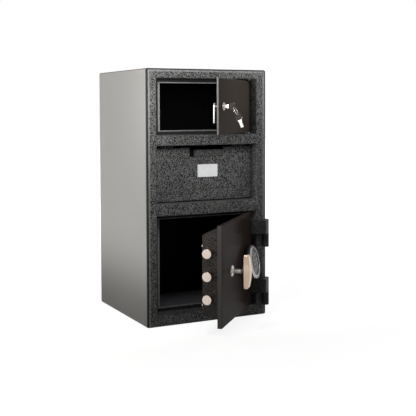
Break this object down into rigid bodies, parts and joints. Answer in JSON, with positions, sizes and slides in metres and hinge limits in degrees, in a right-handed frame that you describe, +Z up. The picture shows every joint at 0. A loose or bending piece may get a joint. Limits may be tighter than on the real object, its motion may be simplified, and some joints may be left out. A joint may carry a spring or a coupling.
{
  "type": "drop safe with deposit drawer",
  "caption": "Front-loading steel drop safe with an upper key locker, a tilting deposit drawer and a lower vault whose door has a round keypad, T-handle and sliding bolts.",
  "frame": {"origin": "on the floor, under the middle of the cabinet", "axes": "+Z up, -Y out of the front, +X towards the hinged side of both doors"},
  "size_m": [0.3676, 0.5787, 0.692],
  "materials": {
    "powder_coat": "black fine-texture powder coat on steel sheet",
    "smooth_coat": "black smooth semi-gloss coat on steel plate",
    "zinc": "bright zinc plate",
    "nickel": "satin nickel plate",
    "chrome": "polished chrome",
    "dark_steel": "dark oiled steel",
    "brass": "satin brass",
    "black_plastic": "fine-grained black plastic",
    "pale_metal": "satin silver",
    "grey_field": "grey membrane",
    "key_white": "off-white moulded keys",
    "mat_felt": "dark needle-felt mat"
  },
  "bodies": {
    "safe_body": {"body_shell": "powder_coat", "front_frame": "powder_coat", "back_panel": "powder_coat", "locker_shelf": "powder_coat", "locker_mat": "mat_felt", "vault_mat": "mat_felt", "vault_stop_frame": "powder_coat", "locker_stop_frame": "powder_coat", "chute_side_left": "powder_coat", "chute_side_right": "powder_coat", "antifish_baffle": "zinc", "drawer_pin_left": "zinc", "drawer_pin_right": "zinc", "locker_pin_bottom": "zinc", "locker_pin_top": "zinc", "hinge_barrel_lower": "powder_coat", "hinge_barrel_upper": "powder_coat", "hinge_pin_lower": "dark_steel", "hinge_pin_upper": "dark_steel"},
    "deposit_drawer": {"drawer_front": "powder_coat", "drawer_pull_cup": "powder_coat", "drawer_cheek_left": "powder_coat", "drawer_cheek_right": "powder_coat", "drawer_scoop": "powder_coat"},
    "locker_door_leaf": {"locker_door": "smooth_coat", "lock_barrel": "chrome"},
    "cam_lock": {"lock_plug": "brass", "locker_cam": "zinc", "lock_key": "nickel"},
    "ring": {"key_ring": "zinc"},
    "hanging_key": {"spare_key": "nickel"},
    "vault_door_leaf": {"vault_door": "smooth_coat", "hinge_ear_lower": "powder_coat", "hinge_ear_upper": "powder_coat", "bolt_box": "powder_coat", "bolt_box_cover": "powder_coat", "lock_case": "dark_steel", "handle_rosette": "dark_steel", "keypad_housing": "black_plastic", "keypad_bezel": "pale_metal", "keypad_face": "grey_field"},
    "bolt_work": {"bolt_bar": "zinc", "bolt_top": "nickel", "bolt_middle": "nickel", "bolt_bottom": "nickel"},
    "handle": {"t_handle": "chrome", "bolt_crank": "zinc"},
    "plunger": {"lock_plunger": "zinc"},
    "keypad_key_1": {"key_1": "key_white"},
    "keypad_key_2": {"key_2": "key_white"},
    "keypad_key_3": {"key_3": "key_white"},
    "keypad_key_4": {"key_4": "key_white"},
    "keypad_key_5": {"key_5": "key_white"},
    "keypad_key_6": {"key_6": "key_white"},
    "keypad_key_7": {"key_7": "key_white"},
    "keypad_key_8": {"key_8": "key_white"},
    "keypad_key_9": {"key_9": "key_white"},
    "keypad_key_left": {"key_left": "key_white"},
    "keypad_key_0": {"key_0": "key_white"},
    "keypad_key_right": {"key_right": "key_white"}
  },
  "joints": [
    {"name": "drawer_tilt", "type": "hinge", "parent": "safe_body", "child": "deposit_drawer", "pos_m": [0, -0.147, 0.342], "axis": [1, 0, 0], "range_deg": [0, 42]},
    {"name": "locker_swing", "type": "hinge", "parent": "safe_body", "child": "locker_door_leaf", "pos_m": [0.1449, -0.15125, 0.59], "axis": [0, 0, 1], "range_deg": [-45, 50]},
    {"name": "lock_turn", "type": "hinge", "parent": "locker_door_leaf", "child": "cam_lock", "pos_m": [-0.0364, -0.33255, 0.59], "axis": [-0.7071, 0.7071, 0], "range_deg": [0, 90]},
    {"name": "ring_swing", "type": "hinge", "parent": "cam_lock", "child": "ring", "pos_m": [-0.0148, -0.35415, 0.5885], "axis": [0.7071, 0.7071, 0], "range_deg": [-8, 28]},
    {"name": "spare_key_swing", "type": "hinge", "parent": "ring", "child": "hanging_key", "pos_m": [-0.0075, -0.36146, 0.56907], "axis": [0.7071, 0.7071, 0], "range_deg": [-10, 12]},
    {"name": "vault_swing", "type": "hinge", "parent": "safe_body", "child": "vault_door_leaf", "pos_m": [0.1766, -0.1893, 0.157], "axis": [0, 0, 1], "range_deg": [-46.25, 63.75]},
    {"name": "handle_turn", "type": "hinge", "parent": "vault_door_leaf", "child": "handle", "pos_m": [-0.00864, -0.33176, 0.1655], "axis": [0.7224, -0.6915, 0], "range_deg": [0, 90]},
    {"name": "bolt_throw", "type": "slide", "parent": "vault_door_leaf", "child": "bolt_work", "axis": [-0.6915, -0.7224, 0], "range_m": [0, 0.028]},
    {"name": "plunger_slide", "type": "slide", "parent": "vault_door_leaf", "child": "plunger", "axis": [0, 0, 1], "range_m": [0, 0.007]},
    {"name": "key_1_press", "type": "slide", "parent": "vault_door_leaf", "child": "keypad_key_1", "axis": [-0.7114, 0.681, -0.1736], "range_m": [0, 0.0012], "stiffness_N_per_m": 300},
    {"name": "key_2_press", "type": "slide", "parent": "vault_door_leaf", "child": "keypad_key_2", "axis": [-0.7114, 0.681, -0.1736], "range_m": [0, 0.0012], "stiffness_N_per_m": 300},
    {"name": "key_3_press", "type": "slide", "parent": "vault_door_leaf", "child": "keypad_key_3", "axis": [-0.7114, 0.681, -0.1736], "range_m": [0, 0.0012], "stiffness_N_per_m": 300},
    {"name": "key_4_press", "type": "slide", "parent": "vault_door_leaf", "child": "keypad_key_4", "axis": [-0.7114, 0.681, -0.1736], "range_m": [0, 0.0012], "stiffness_N_per_m": 300},
    {"name": "key_5_press", "type": "slide", "parent": "vault_door_leaf", "child": "keypad_key_5", "axis": [-0.7114, 0.681, -0.1736], "range_m": [0, 0.0012], "stiffness_N_per_m": 300},
    {"name": "key_6_press", "type": "slide", "parent": "vault_door_leaf", "child": "keypad_key_6", "axis": [-0.7114, 0.681, -0.1736], "range_m": [0, 0.0012], "stiffness_N_per_m": 300},
    {"name": "key_7_press", "type": "slide", "parent": "vault_door_leaf", "child": "keypad_key_7", "axis": [-0.7114, 0.681, -0.1736], "range_m": [0, 0.0012], "stiffness_N_per_m": 300},
    {"name": "key_8_press", "type": "slide", "parent": "vault_door_leaf", "child": "keypad_key_8", "axis": [-0.7114, 0.681, -0.1736], "range_m": [0, 0.0012], "stiffness_N_per_m": 300},
    {"name": "key_9_press", "type": "slide", "parent": "vault_door_leaf", "child": "keypad_key_9", "axis": [-0.7114, 0.681, -0.1736], "range_m": [0, 0.0012], "stiffness_N_per_m": 300},
    {"name": "key_left_press", "type": "slide", "parent": "vault_door_leaf", "child": "keypad_key_left", "axis": [-0.7114, 0.681, -0.1736], "range_m": [0, 0.0012], "stiffness_N_per_m": 300},
    {"name": "key_0_press", "type": "slide", "parent": "vault_door_leaf", "child": "keypad_key_0", "axis": [-0.7114, 0.681, -0.1736], "range_m": [0, 0.0012], "stiffness_N_per_m": 300},
    {"name": "key_right_press", "type": "slide", "parent": "vault_door_leaf", "child": "keypad_key_right", "axis": [-0.7114, 0.681, -0.1736], "range_m": [0, 0.0012], "stiffness_N_per_m": 300}
  ],
  "couplings": [
    {"joint": "bolt_throw", "follows": "handle_turn", "m_per_rad": 0.01782}
  ]
}
